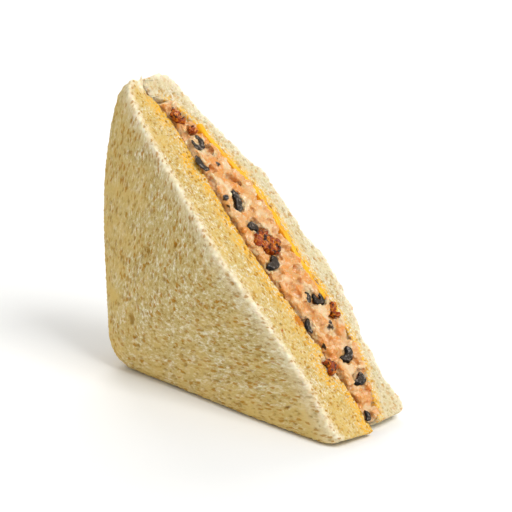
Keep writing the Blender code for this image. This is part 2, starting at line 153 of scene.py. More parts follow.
def add_node(
    tree: bpy.types.NodeTree,
    kind: str,
    settings: dict[str | int, Any] | None = None,
    links: dict[str | int, bpy.types.NodeSocket] | None = None,
) -> bpy.types.Node:
    """Adds a shader node.

    Args:
        tree: the material's node tree.
        kind: the node's type name.
        settings: values of its properties and of its inputs; "stops" fills a colour ramp.
        links: for each input, the socket that feeds it.

    Returns:
        The new node.
    """
    node = tree.nodes.new(kind)
    for key, value in (settings or {}).items():
        if key == "stops":
            ramp = node.color_ramp.elements
            while len(ramp) < len(value):
                ramp.new(0.5)
            for stop, (place, colour) in zip(ramp, value):
                stop.position, stop.color = place, colour
        elif isinstance(key, str) and hasattr(node, key):
            setattr(node, key, value)
        else:
            node.inputs[key].default_value = value
    for key, socket in (links or {}).items():
        tree.links.new(socket, node.inputs[key])
    return node


def new_material(name: str, **settings: Any) -> tuple[bpy.types.Material, bpy.types.ShaderNode]:
    """Starts a material.

    Args:
        name: what the real material is.
        settings: values of the Principled shader's inputs, with _ for a space.

    Returns:
        The material and its Principled shader.
    """
    material = bpy.data.materials.new(name)
    material.use_nodes = True
    shader = material.node_tree.nodes["Principled BSDF"]
    for key, value in settings.items():
        shader.inputs[key.replace("_", " ")].default_value = value
    return material, shader


def paint(
    tree: bpy.types.NodeTree,
    ground: bpy.types.NodeSocket,
    coats: list[tuple[bpy.types.NodeSocket, str]],
) -> bpy.types.NodeSocket:
    """Lays coats of colour over a ground colour.

    Args:
        tree: the material's node tree.
        ground: the colour below.
        coats: for each coat, how thick it is everywhere and its hex colour.

    Returns:
        The colour on top.
    """
    for amount, colour in coats:
        coat = add_node(
            tree,
            "ShaderNodeMix",
            {"data_type": "RGBA", 7: linear(colour)},
            {0: amount, 6: ground},
        )
        ground = coat.outputs[2]
    return ground


def merged_copy(node: bpy.types.Object) -> bmesh.types.BMesh:
    """Gives a copy of a solid's mesh with its loose triangles joined.

    Args:
        node: the solid.

    Returns:
        The copy.
    """
    bm = bmesh.new()
    bm.from_mesh(node.data)
    bmesh.ops.remove_doubles(bm, verts=bm.verts, dist=1e-6)
    return bm


def evaluated(bm: bmesh.types.BMesh, kind: str, **settings: Any) -> bmesh.types.BMesh:
    """Runs one modifier on a bmesh.

    Args:
        bm: the mesh, which is used up.
        kind: the modifier's type.
        settings: its properties.

    Returns:
        The modified mesh.
    """
    mesh = bpy.data.meshes.new("work")
    bm.to_mesh(mesh)
    bm.free()
    obj = bpy.data.objects.new("work", mesh)
    obj.vertex_groups.new(name="hidden")
    bpy.context.scene.collection.objects.link(obj)
    modifier = obj.modifiers.new("Work", kind)
    for key, value in settings.items():
        setattr(modifier, key, value)
    graph = bpy.context.evaluated_depsgraph_get()
    result = bmesh.new()
    result.from_mesh(obj.evaluated_get(graph).data)
    bpy.data.objects.remove(obj)
    bpy.data.meshes.remove(mesh)
    return result


def voxel_skin(bm: bmesh.types.BMesh, size: float) -> bmesh.types.BMesh:
    """Gives the closed mesh an even skin of square faces of this size."""
    return evaluated(bm, "REMESH", mode="VOXEL", voxel_size=size, adaptivity=0.0)


def relax(
    bm: bmesh.types.BMesh,
    verts: bmesh.types.BMVertSeq | list[bmesh.types.BMVert],
    passes: int,
    factor: float = 0.5,
) -> None:
    """Rounds what is sharp: each pass draws the points towards their neighbours.

    Args:
        bm: the mesh.
        verts: the points that move.
        passes: how often they move.
        factor: how far they move in a pass, as a share of the way.
    """
    for _ in range(passes):
        bmesh.ops.smooth_vert(
            bm, verts=verts, factor=factor, use_axis_x=True, use_axis_y=True, use_axis_z=True
        )


def thin_out(
    bm: bmesh.types.BMesh, is_hidden: Callable[[bmesh.types.BMVert], bool]
) -> bmesh.types.BMesh:
    """Leaves only a few faces where nothing shows, between the layers.

    Args:
        bm: the mesh, which is used up.
        is_hidden: whether a point is hidden.

    Returns:
        The thinned mesh.
    """
    bm.normal_update()
    weights = bm.verts.layers.deform.verify()
    hidden = 0
    for vert in bm.verts:
        if is_hidden(vert):
            vert[weights][0] = 1.0
            hidden += 1
    ratio = 1 - HIDDEN_LEFT_OUT * hidden / max(len(bm.verts), 1)
    return evaluated(bm, "DECIMATE", ratio=ratio, vertex_group="hidden")


def between_layers(vert: bmesh.types.BMVert, inward: float = 0.0) -> bool:
    """Tells whether a point lies on a face between two layers, away from the edges that show.

    Args:
        vert: the point.
        inward: the way along Y to the filling, or 0 in the filling, where both faces are hidden.

    Returns:
        Whether the point is hidden.
    """
    facing = vert.normal.y * inward if inward else abs(vert.normal.y)
    return min(in_slice(vert.co)) > HIDDEN_MARGIN and facing > HIDDEN_FACING


def finish_piece(
    bm: bmesh.types.BMesh,
    name: str,
    material: bpy.types.Material,
    nodes: list[str],
) -> bpy.types.Object:
    """Makes the object of a finished mesh, in place of its solids.

    Args:
        bm: the finished mesh, which is used up.
        name: the piece's name.
        material: its finish.
        nodes: the solids that it stands for.

    Returns:
        The piece.
    """
    mesh = bpy.data.meshes.new(name)
    bm.to_mesh(mesh)
    bm.free()
    mesh.materials.append(material)
    mesh.shade_smooth()
    piece = bpy.data.objects.new(name, mesh)
    bpy.context.scene.collection.objects.link(piece)
    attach(piece, "root")
    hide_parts(*nodes)
    LOG.info("%s: %d faces", name, len(mesh.polygons))
    return piece


# Finishes


@dataclass(frozen=True)
class BreadCrumb:
    """White sandwich bread, sliced and cut: matt, a little translucent, full of open cells.

    The knife tears the crumb into pale fibres with hollows between them and opens larger
    cells as pits. The hollows, the pits and the small open cells are painted darker, as painted
    shade; the crest is pale torn fibres with a painted highlight, and the outer face is painted
    lighter towards it, as painted light. Real fibres are finer than 0.5 mm; these are 0.7 mm
    apart, so that they show in the render. Fat from the filling soaks in at the cut and turns the
    crumb deep yellow.
    """

    wall: str = "CDB678"
    fibre: str = "F2EACE"
    # Painted shade in the hollows between the fibres
    hollow_shade: str = "A07420"
    side: str = "DCBE74"
    # Painted shade in the pressed pits
    pit_shade: str = "A47824"
    # Pale torn fibres with a painted highlight, also the painted light on the outer face
    crest: str = "FFF6DC"
    soaked: str = "F4B838"
    # Painted shade in the small open cells, amber where fat soaked in
    speck: str = "B47A16"
    fibre_pitch: float = 0.72 * MM
    speck_pitch: float = 1.15 * MM
    patch_pitch: float = 3.2 * MM
    speck_least: float = 0.7

    def material(self) -> bpy.types.Material:
        """Builds the material. It reads the attributes crumb, stain and grain.

        Returns:
            The material.
        """
        material, shader = new_material(
            "white_bread_crumb",
            Roughness=0.88,
            IOR=1.35,
            Specular_IOR_Level=0.2,
            Subsurface_Weight=0.3,
            Subsurface_Radius=(1.0, 0.62, 0.28),
            Subsurface_Scale=0.8 * MM,
        )
        tree = material.node_tree
        crumb = add_node(tree, "ShaderNodeAttribute", {"attribute_name": "crumb"})
        share = add_node(tree, "ShaderNodeSeparateColor", links={0: crumb.outputs["Color"]}).outputs
        stain = add_node(tree, "ShaderNodeAttribute", {"attribute_name": "stain"})
        grain = add_node(tree, "ShaderNodeAttribute", {"attribute_name": "grain"}).outputs["Vector"]
        fibres = add_node(
            tree,
            "ShaderNodeTexNoise",
            {"Scale": 1 / self.fibre_pitch, "Detail": 4.0, "Roughness": 0.72, "Distortion": 0.4},
            {"Vector": grain},
        )
        patch = add_node(
            tree,
            "ShaderNodeTexNoise",
            {"Scale": 1 / self.patch_pitch, "Detail": 3.0, "Roughness": 0.6},
            {"Vector": grain},
        )
        # Walls are thinner in some patches, so the hollows take over there; the hollows are
        # painted darker, as painted shade
        height = add_node(
            tree,
            "ShaderNodeMix",
            {"data_type": "FLOAT", 0: 0.24},
            {2: fibres.outputs[0], 3: patch.outputs[0]},
        )
        # The ramp paints the hollows darker, as painted shade, and the fibre tops pale
        ground = add_node(
            tree,
            "ShaderNodeValToRGB",
            {
                "stops": [
                    (0.36, linear(self.hollow_shade)),
                    (0.45, linear(self.wall)),
                    (0.50, linear(self.wall)),
                    (0.62, linear(self.fibre)),
                ]
            },
            {0: height.outputs[0]},
        )
        # Fat gathers in the hollows, so the fibres stay paler where it soaked in
        soak = add_node(
            tree,
            "ShaderNodeMapRange",
            {"From Min": 0.57, "From Max": 0.44, "To Max": 1.5},
            {"Value": fibres.outputs[0]},
        )
        soak = add_node(
            tree,
            "ShaderNodeMath",
            {"operation": "MULTIPLY", "use_clamp": True},
            {0: soak.outputs[0], 1: share[1]},
        )
        # Small open cells, painted darker as painted shade, which look amber where fat has soaked
        # in
        cells = add_node(
            tree, "ShaderNodeTexVoronoi", {"Scale": 1 / self.speck_pitch}, {"Vector": grain}
        )
        torn = add_node(
            tree,
            "ShaderNodeMath",
            {"operation": "MULTIPLY_ADD", 1: 0.9},
            {0: fibres.outputs[0], 2: cells.outputs["Distance"]},
        )
        speck = add_node(
            tree,
            "ShaderNodeMapRange",
            {"From Min": 0.94, "From Max": 0.7},
            {"Value": torn.outputs[0]},
        )
        strength = add_node(
            tree,
            "ShaderNodeMapRange",
            {"To Min": self.speck_least, "To Max": 0.95},
            {"Value": share[1]},
        )
        # Only some of the cells are open
        chance = add_node(tree, "ShaderNodeSeparateColor", links={0: cells.outputs["Color"]})
        is_open = add_node(
            tree,
            "ShaderNodeMapRange",
            {"From Min": 0.4, "From Max": 0.75},
            {"Value": chance.outputs[0]},
        )
        strength = add_node(
            tree,
            "ShaderNodeMath",
            {"operation": "MULTIPLY"},
            {0: strength.outputs[0], 1: is_open.outputs[0]},
        )
        speck = add_node(
            tree,
            "ShaderNodeMath",
            {"operation": "MULTIPLY", "use_clamp": True},
            {0: speck.outputs[0], 1: strength.outputs[0]},
        )
        # Painted shade goes on in the pits and the small cells, and painted light on the crest
        colour = paint(
            tree,
            ground.outputs[0],
            [
                (crumb.outputs["Alpha"], self.side),
                (share[2], self.crest),
                (share[0], self.pit_shade),
                (soak.outputs[0], self.soaked),
                (speck.outputs[0], self.speck),
            ],
        )
        spotted = add_node(
            tree,
            "ShaderNodeMix",
            {"data_type": "RGBA"},
            {0: stain.outputs["Alpha"], 6: colour, 7: stain.outputs["Color"]},
        )
        tree.links.new(spotted.outputs[2], shader.inputs["Base Color"])
        bump = add_node(
            tree,
            "ShaderNodeBump",
            {"Strength": 0.6, "Distance": 0.45 * MM},
            {"Height": fibres.outputs[0]},
        )
        tree.links.new(bump.outputs[0], shader.inputs["Normal"])
        return material


@dataclass(frozen=True)
class HamInDressing:
    """Diced cooked ham stirred into an oily dressing: creamy, moist and slightly see-through.

    Lean dice are pink, oily ones orange, and the dressing leaves cream streaks and wet glints.
    The creases and valleys between the lumps are painted darker orange, as painted shade.
    """

    lean: str = "E2A864"
    oily: str = "E69A48"
    pale: str = "EACC9C"
    # Painted shade in the creases and valleys between lumps
    shaded_crease: str = "DC9240"
    cream: str = "EED6AC"
    speck: str = "2E2018"

    def material(self) -> bpy.types.Material:
        """Builds the material. It reads the attribute ham.

        Returns:
            The material.
        """
        material, shader = new_material(
            "cooked_ham_in_dressing",
            Roughness=0.38,
            IOR=1.42,
            Specular_IOR_Level=0.4,
            Subsurface_Weight=0.5,
            Subsurface_Radius=(1.0, 0.62, 0.34),
            Subsurface_Scale=1.5 * MM,
            Coat_Weight=0.55,
            Coat_Roughness=0.1,
        )
        tree = material.node_tree
        ham = add_node(tree, "ShaderNodeAttribute", {"attribute_name": "ham"})
        share = add_node(tree, "ShaderNodeSeparateColor", links={0: ham.outputs["Color"]}).outputs
        where = add_node(tree, "ShaderNodeTexCoord").outputs["Object"]
        dice = add_node(
            tree,
            "ShaderNodeValToRGB",
            {
                "stops": [
                    (0.0, linear(self.pale)),
                    (0.3, linear(self.lean)),
                    (0.62, linear(self.lean)),
                    (0.8, linear(self.oily)),
                    (1.0, linear(self.oily)),
                ]
            },
            {0: share[0]},
        )
        fibre = add_node(
            tree,
            "ShaderNodeTexNoise",
            {"Scale": 1 / (1.3 * MM), "Detail": 4.0, "Roughness": 0.65, "Distortion": 0.8},
            {"Vector": where},
        )
        streak = add_node(
            tree,
            "ShaderNodeMapRange",
            {"From Min": 0.52, "From Max": 0.66, "To Max": 0.6},
            {"Value": fibre.outputs[0]},
        )
        # The creases and valleys get painted shade in darker orange
        colour = paint(
            tree,
            dice.outputs[0],
            [
                (share[1], self.shaded_crease),
                (streak.outputs[0], self.cream),
                (share[2], self.cream),
                (ham.outputs["Alpha"], self.speck),
            ],
        )
        tree.links.new(colour, shader.inputs["Base Color"])
        # Grains of minced ham in the dressing, a little over a millimetre
        grains = add_node(
            tree,
            "ShaderNodeTexVoronoi",
            {"feature": "SMOOTH_F1", "Scale": 1 / (1.25 * MM), "Smoothness": 0.35},
            {"Vector": where},
        )
        bump = add_node(
            tree,
            "ShaderNodeBump",
            {"Strength": 0.6, "Distance": 0.4 * MM, "invert": True},
            {"Height": grains.outputs["Distance"]},
        )
        ripple = add_node(
            tree,
            "ShaderNodeBump",
            {"Strength": 0.35, "Distance": 0.3 * MM},
            {"Height": fibre.outputs[0], "Normal": bump.outputs[0]},
        )
        tree.links.new(ripple.outputs[0], shader.inputs["Normal"])
        return material


@dataclass(frozen=True)
class YellowCheese:
    """Processed cheese, sliced: smooth, waxy, deep yellow, with a soft sheen at its edge."""

    body: str = "FFBE1C"
    edge: str = "F6A818"

    def material(self) -> bpy.types.Material:
        """Builds the material.

        Returns:
            The material.
        """
        material, shader = new_material(
            "processed_cheese",
            Roughness=0.32,
            IOR=1.45,
            Specular_IOR_Level=0.45,
            Subsurface_Weight=0.4,
            Subsurface_Radius=(1.0, 0.75, 0.12),
            Subsurface_Scale=1.5 * MM,
        )
        tree = material.node_tree
        where = add_node(tree, "ShaderNodeTexCoord").outputs["Object"]
        mottle = add_node(
            tree, "ShaderNodeTexNoise", {"Scale": 1 / (4 * MM), "Detail": 3.0}, {"Vector": where}
        )
        ground = add_node(tree, "ShaderNodeRGB")
        ground.outputs[0].default_value = linear(self.body)
        amount = add_node(
            tree,
            "ShaderNodeMapRange",
            {"From Min": 0.45, "From Max": 0.7},
            {"Value": mottle.outputs[0]},
        )
        colour = paint(tree, ground.outputs[0], [(amount.outputs[0], self.edge)])
        tree.links.new(colour, shader.inputs["Base Color"])
        bump = add_node(
            tree,
            "ShaderNodeBump",
            {"Strength": 0.25, "Distance": 0.3 * MM},
            {"Height": mottle.outputs[0]},
        )
        tree.links.new(bump.outputs[0], shader.inputs["Normal"])
        return material


@dataclass(frozen=True)
class BlackOlive:
    """Ripe black olive, sliced and chopped: thin black skin, grey-brown flesh, wet all over."""

    skin: str = "0C0A09"
    flesh: str = "3C3228"
    pale_flesh: str = "8A7E74"

    def material(self) -> bpy.types.Material:
        """Builds the material. It reads the attribute olive.

        Returns:
            The material.
        """
        material, shader = new_material(
            "ripe_black_olive",
            Roughness=0.26,
            IOR=1.40,
            Specular_IOR_Level=0.3,
            Coat_Weight=0.1,
            Coat_Roughness=0.08,
        )
        tree = material.node_tree
        olive = add_node(tree, "ShaderNodeAttribute", {"attribute_name": "olive"})
        skin = add_node(tree, "ShaderNodeSeparateColor", links={0: olive.outputs["Color"]})
        where = add_node(tree, "ShaderNodeTexCoord").outputs["Object"]
        pulp = add_node(
            tree, "ShaderNodeTexNoise", {"Scale": 1 / (0.9 * MM), "Detail": 4.0}, {"Vector": where}
        )
        pale = add_node(
            tree,
            "ShaderNodeMapRange",
            {"From Min": 0.54, "From Max": 0.66},
            {"Value": pulp.outputs[0]},
        )
        ground = add_node(tree, "ShaderNodeRGB")
        ground.outputs[0].default_value = linear(self.flesh)
        colour = paint(
            tree,
            ground.outputs[0],
            [(pale.outputs[0], self.pale_flesh), (skin.outputs[0], self.skin)],
        )
        tree.links.new(colour, shader.inputs["Base Color"])
        bump = add_node(
            tree,
            "ShaderNodeBump",
            {"Strength": 0.5, "Distance": 0.25 * MM},
            {"Height": pulp.outputs[0]},
        )
        tree.links.new(bump.outputs[0], shader.inputs["Normal"])
        return material


@dataclass(frozen=True)
class FriedBacon:
    """Bacon fried until it curls: red-brown and greasy, with amber fat and charred spots."""

    lean: str = "9A3A06"
    fat: str = "D88018"
    char: str = "3A1202"

    def material(self) -> bpy.types.Material:
        """Builds the material.

        Returns:
            The material.
        """
        material, shader = new_material(
            "fried_bacon",
            Roughness=0.3,
            IOR=1.42,
            Specular_IOR_Level=0.3,
            Coat_Weight=0.3,
            Coat_Roughness=0.06,
        )
        tree = material.node_tree
        where = add_node(tree, "ShaderNodeTexCoord").outputs["Object"]
        streak = add_node(
            tree,
            "ShaderNodeTexNoise",
            {"Scale": 1 / (1.5 * MM), "Detail": 4.0, "Distortion": 1.2},
            {"Vector": where},
        )
        spots = add_node(
            tree, "ShaderNodeTexNoise", {"Scale": 1 / (1.6 * MM), "Detail": 2.0}, {"Vector": where}
        )
        fat = add_node(
            tree,
            "ShaderNodeMapRange",
            {"From Min": 0.48, "From Max": 0.6},
            {"Value": streak.outputs[0]},
        )
        char = add_node(
            tree,
            "ShaderNodeMapRange",
            {"From Min": 0.52, "From Max": 0.62},
            {"Value": spots.outputs[0]},
        )
        ground = add_node(tree, "ShaderNodeRGB")
        ground.outputs[0].default_value = linear(self.lean)
        colour = paint(
            tree, ground.outputs[0], [(fat.outputs[0], self.fat), (char.outputs[0], self.char)]
        )
        tree.links.new(colour, shader.inputs["Base Color"])
        bump = add_node(
            tree,
            "ShaderNodeBump",
            {"Strength": 0.7, "Distance": 0.3 * MM},
            {"Height": streak.outputs[0]},
        )
        tree.links.new(bump.outputs[0], shader.inputs["Normal"])
        return material


# Bread


class Slice(Enum):
    """The two slices, by the way their outer face looks along Y."""

    FRONT = -1
    BACK = 1


@dataclass(frozen=True)
class Cells:
    """Open cells of one size in the crumb, in the crumb's own stretched space.

    The reach of a cell is a share of the pitch, and only the open share of the cells shows.
    """

    pitch: float
    reach: float
    depth: float
    open_share: float
    seed: float

    def pit(self, grain: Vector) -> float:
        """Gives how deep this size of cell is open at a point.

        Args:
            grain: the point, in the crumb's own space.

        Returns:
            The depth, from 0 to 1.
        """
        spot = grain / self.pitch + Vector((self.seed, -self.seed, 2 * self.seed))
        spot += 0.35 * noise.noise_vector(spot * 2.1)
        distances, points = noise.voronoi(spot)
        chance = 0.5 + 0.5 * noise.cell(points[0] * 9.7)
        if chance > self.open_share:
            return 0.0
        reach = self.reach * (0.6 + 0.8 * chance / self.open_share)
        return smooth(1.35 * (1 - distances[0] / reach))


@dataclass(frozen=True)
class Stain:
    """A spot of fat or a crumb of filling on the cut face of the bread, across and reach in mm."""

    station: float
    across: float
    reach: float
    colour: str

    def cover(self, point: Vector) -> float:
        """Gives how much of the bread it covers at a point.

        Args:
            point: where, in metres.

        Returns:
            The cover, from 0 to 1.
        """
        middle = point_on_cut(self.station, self.across * MM, 0.0)
        away = (point - middle).length / (self.reach * MM)
        return 0.85 * smooth(1.4 * (1.15 - away + 0.6 * lump(point, 0.9 * MM, 7.0)))


@dataclass
class BreadSlice:
    """One slice of bread: soft outer face, fuzzy torn crest along the cut and open crumb.

    A slice that faces another one is pressed on to it at the top tip, above the filling's end. The
    tip_ sizes say from which station, how fast, how deep below the cut and over how wide a slot.
    """

    side: Slice
    node: bpy.types.Object
    fillings: list[bpy.types.Object]
    face: float = 0.39 * MM
    crest_width: float = 3.4 * MM
    crest_round: float = 3.2 * MM
    crest_depth: float = 6.0 * MM
    crest_passes: int = 45
    cut_band: float = 12.0 * MM
    painted_light_reach: float = 9.0 * MM
    side_reach: float = 22.0 * MM
    grain_blend: float = 14.0 * MM
    soak_reach: float = 6.5 * MM
    soak_least: float = 0.16
    stretch: float = 2.4
    fuzz: float = 0.2 * MM
    ragged: float = 0.45 * MM
    cells: tuple[Cells, ...] = (
        Cells(pitch=1.0 * MM, reach=0.46, depth=0.30 * MM, open_share=0.42, seed=3.1),
        Cells(pitch=2.0 * MM, reach=0.34, depth=0.55 * MM, open_share=0.20, seed=8.7),
        Cells(pitch=4.6 * MM, reach=0.22, depth=0.85 * MM, open_share=0.14, seed=5.3),
    )
    stains: tuple[Stain, ...] = ()
    facing: bpy.types.Object | None = None
    tip_station: float = -0.8
    tip_ramp: float = 0.04
    tip_depth: float = 5.5 * MM
    tip_fade: float = 1.5 * MM
    tip_slot: float = 6.0 * MM
    tip_gap: float = 0.1 * MM

    def build(self, finish: bpy.types.Material) -> bpy.types.Object:
        """Builds the slice.

        Args:
            finish: the crumb's material.

        Returns:
            The finished piece.
        """
        solid = merged_copy(self.node)
        solid.normal_update()
        outer, cut = self.face_trees(solid)
        filling = self.filling_tree()
        inward = -self.side.value
        bm = thin_out(voxel_skin(solid, self.face), lambda vert: between_layers(vert, inward))
        self.close_tip(bm)
        self.round_crest(bm, outer, cut)
        self.open_crumb(bm, outer, cut, filling)
        return finish_piece(bm, f"{self.node.name}_crumb", finish, [self.node.name])

    def face_trees(self, solid: bmesh.types.BMesh) -> tuple[BVHTree, BVHTree]:
        """Sorts the solid's faces into its outer face and its cut face.

        Args:
            solid: the merged solid.

        Returns:
            A search tree of the outer face and one of the cut face.
        """
        points = [vert.co.copy() for vert in solid.verts]
        outer, cut = [], []
        for face in solid.faces:
            corners = [vert.index for vert in face.verts]
            to_cut = [abs(in_slice(vert.co)[2]) for vert in face.verts]
            if max(to_cut) < 5 * MM and face.normal.dot(CUT_NORMAL) > 0.6:
                cut.append(corners)
            elif face.normal.y * self.side.value > 0.2:
                outer.append(corners)
        return BVHTree.FromPolygons(points, outer), BVHTree.FromPolygons(points, cut)

    def filling_tree(self) -> BVHTree:
        """Gives a search tree of all that lies against the slice.

        Returns:
            The tree.
        """
        together = bmesh.new()
        for filling in self.fillings:
            together.from_mesh(filling.data)
        tree = BVHTree.FromBMesh(together)
        together.free()
        return tree

    def close_tip(self, bm: bmesh.types.BMesh) -> None:
        """Presses the edge of the slice's top tip on to the slice that it faces.

        Args:
            bm: the slice's skin.
        """
        if self.facing is None:
            return
        together = merged_copy(self.facing)
        other = BVHTree.FromBMesh(together)
        together.free()
        inward = Vector((0, -self.side.value, 0))
        bm.normal_update()
        for vert in bm.verts:
            x, z, to_cut = in_slice(vert.co)
            station = (x - z) / SIDE
            closing = smooth((self.tip_station - station) / self.tip_ramp)
            closing *= smooth((self.tip_depth - to_cut) / self.tip_fade)
            if closing and vert.normal.dot(inward) > 0.2:
                slot = other.ray_cast(vert.co, inward, self.tip_slot)[3]
                if slot is not None:
                    vert.co += inward * closing * (slot - self.tip_gap)

    def round_crest(self, bm: bmesh.types.BMesh, outer: BVHTree, cut: BVHTree) -> None:
        """Softens the edge where the outer face meets the cut.

        Args:
            bm: the slice's skin.
            outer: the outer face.
            cut: the cut face.
        """
        edge = [
            vert
            for vert in bm.verts
            if in_slice(vert.co)[2] < self.crest_depth
            and cut.find_nearest(vert.co)[3] < self.crest_round
            and outer.find_nearest(vert.co)[3] < self.crest_round
        ]
        relax(bm, edge, self.crest_passes)

    def grain_at(self, point: Vector) -> Vector:
        """Gives a point in the crumb's own space, where its long cells are round.

        The loaf rose against its tin, so the cells lie along the nearest side of the slice.

        Args:
            point: where, in metres.

        Returns:
            The point in the crumb's space.
        """
        x, z, _ = in_slice(point)
        blend = self.grain_blend
        nearest = -blend * math.log(math.exp(-x / blend) + math.exp(-z / blend))
        return Vector((nearest, point.y, (x - z) / self.stretch))

    def stain_at(self, point: Vector) -> Colour:
        """Gives the colour of the strongest stain at a point.

        Args:
            point: where, in metres.

        Returns:
            The colour, with the stain's cover as alpha.
        """
        stains = ((stain.cover(point), stain.colour) for stain in self.stains)
        cover, colour = max(stains, default=(0.0, "000000"))
        return (*linear(colour)[:3], cover)

    def open_crumb(
        self, bm: bmesh.types.BMesh, outer: BVHTree, cut: BVHTree, filling: BVHTree
    ) -> None:
        """Presses the cells into the slice and paints its attributes.

        Args:
            bm: the slice's skin.
            outer: the outer face.
            cut: the cut face.
            filling: what lies against the slice.
        """
        bm.normal_update()
        crumb_layer = bm.verts.layers.float_color.new("crumb")
        stain_layer = bm.verts.layers.float_color.new("stain")
        grain_layer = bm.verts.layers.float_vector.new("grain")
        moves = []
        for vert in bm.verts:
            point = vert.co
            x, z, to_cut = in_slice(point)
            grain = self.grain_at(point)
            vert[grain_layer] = grain
            hidden = smooth((min(x, z, to_cut) - 2 * MM) / (2 * MM)) * smooth(
                (-vert.normal.y * self.side.value - 0.4) / 0.3
            )
            from_outer = outer.find_nearest(point)[3]
            from_cut = cut.find_nearest(point)[3] if to_cut < self.cut_band else self.cut_band
            from_filling = filling.find_nearest(point)[3]
            crest = smooth(1 - max(from_cut, from_outer) / self.crest_width)
            # The pits are also painted darker, as painted shade
            pit_shade, sink = 0.0, 0.0
            for size in self.cells:
                pit = size.pit(grain)
                pit_shade = max(pit_shade, pit)
                sink = max(sink, pit * size.depth)
            on_cut = smooth(1.2 - from_cut / (1.6 * MM))
            moist = smooth(1.12 - from_filling / self.soak_reach)
            soak = on_cut * (self.soak_least + (1 - self.soak_least) * moist)
            soak *= (1 - 0.75 * crest) * (0.9 + 0.55 * lump(point, 3.4 * MM, 4.0))
            open_here = (1 - hidden) * (1 - 0.6 * crest)
            rough = lump(point, 0.8 * MM, 6.0) + 0.7 * lump(point, 1.9 * MM, 2.0)
            torn = 0.7 * lump(point, 2.8 * MM, 3.0) + lump(point, 6.5 * MM, 8.0)
            torn *= self.ragged * crest
            height = self.fuzz * rough * (1 - hidden) * (1 + 0.8 * crest) - sink * open_here
            moves.append((vert, vert.normal * (height + torn * (1 - hidden))))
            to_side = smooth(1 - min(x, z) / self.side_reach)
            tint = 0.05 + 0.6 * max(to_side, 0.3 * on_cut) + 0.65 * lump(point, 7 * MM, 9.0)
            # Painted light: the outer face pales towards the crest, which turns to the light, and
            # the crest band adds pale torn fibres with a painted highlight
            pale = 0.4 * smooth(1 - to_cut / self.painted_light_reach) * (1 - on_cut)
            pale = max(pale, crest * (0.75 + 0.6 * lump(point, 1.3 * MM, 5.0)))
            # Red paints shade in the pits, blue the painted light and highlight at the crest
            vert[crumb_layer] = (
                0.7 * pit_shade * open_here,
                min(max(soak, 0.0), 1.0),
                min(pale, 1.0),
                min(max(tint, 0.0), 1.0),
            )
            vert[stain_layer] = self.stain_at(point)
        for vert, move in moves:
            vert.co += move
            vert.co.z = max(vert.co.z, 0.0)


# Filling


@dataclass
class HamSalad:
    """The filling: diced ham in dressing, with crumbs of olive and bacon stirred in.

    Each speck is one such crumb: its station, its distance across and its width (mm).
    """

    node: bpy.types.Object
    face: float = 0.36 * MM
    dressing: float = 0.45 * MM
    dice: float = 3.6 * MM
    crease_depth: float = 0.25 * MM
    billow_height: float = 1.1 * MM
    specks: tuple[tuple[float, float, float], ...] = (
        (-0.80, 0.8, 1.3),
        (-0.43, 6.5, 1.4),
        (-0.266, 0.9, 1.6),
        (-0.226, -0.9, 1.6),
        (0.205, 0.2, 1.3),
        (0.452, 11.9, 2.3),
        (0.53, 3.2, 1.6),
    )

    def build(self, finish: bpy.types.Material) -> bpy.types.Object:
        """Builds the filling.

        Args:
            finish: the ham's material.

        Returns:
            The finished piece.
        """
        bm = self.fill_gaps(merged_copy(self.node))
        relax(bm, bm.verts, passes=5)
        bm = thin_out(bm, between_layers)
        self.press_dice(bm)
        return finish_piece(bm, "ham_in_dressing", finish, [self.node.name])

    def fill_gaps(self, bm: bmesh.types.BMesh) -> bmesh.types.BMesh:
        """Fills the narrow gaps between dice: the skin swells, closes and shrinks back.

        Args:
            bm: the solid's mesh, which is used up.

        Returns:
            The filling's skin.
        """
        for step in (self.dressing, -self.dressing):
            bm = voxel_skin(bm, self.face)
            bm.normal_update()
            for vert in bm.verts:
                vert.co += vert.normal * step
        return bm

    def press_dice(self, bm: bmesh.types.BMesh) -> None:
        """Presses creases between the dice and paints the attribute ham.

        Args:
            bm: the filling's skin.
        """
        bm.normal_update()
        layer = bm.verts.layers.float_color.new("ham")
        specks = [
            (point_on_cut(station, across * MM, 0.3 * MM), 0.62 * width * MM)
            for station, across, width in self.specks
        ]
        moves = []
        for vert in bm.verts:
            point = vert.co
            hidden = 1.0 if between_layers(vert) else 0.0
            spot = point / self.dice + 0.45 * noise.noise_vector(point / (2.6 * MM))
            distances, points = noise.voronoi(spot)
            shaded_crease = 1 - smooth((distances[1] - distances[0]) / 0.2)
            kind = 0.5 + 0.5 * noise.cell(points[0] * 8.3)
            kind = min(max(kind + 0.3 * lump(point, 1.8 * MM, 4.0), 0.0), 1.0)
            cream = smooth(2.0 * lump(point, 3.6 * MM, 7.0)) * 0.75
            # Rounded lumps with sharp valleys between them
            billow = abs(lump(point, 2.4 * MM, 5.0)) + 0.4 * abs(lump(point, 1.1 * MM, 3.0))
            height = self.billow_height * (billow - 0.3) - self.crease_depth * shaded_crease
            valley_shade = smooth(1 - billow / 0.14)
            moves.append((vert, vert.normal * height * (1 - hidden)))
            strayed = point + 0.55 * MM * noise.noise_vector(point / (0.9 * MM))
            speck = max(
                smooth((1.25 - (strayed - middle).length / reach) / 0.25)
                for middle, reach in specks
            )
            # Green paints shade in the creases and valleys
            vert[layer] = (kind, 0.55 * max(0.6 * shaded_crease, valley_shade), cream, speck)
        for vert, move in moves:
            vert.co += move
            vert.co.z = max(vert.co.z, 0.0)


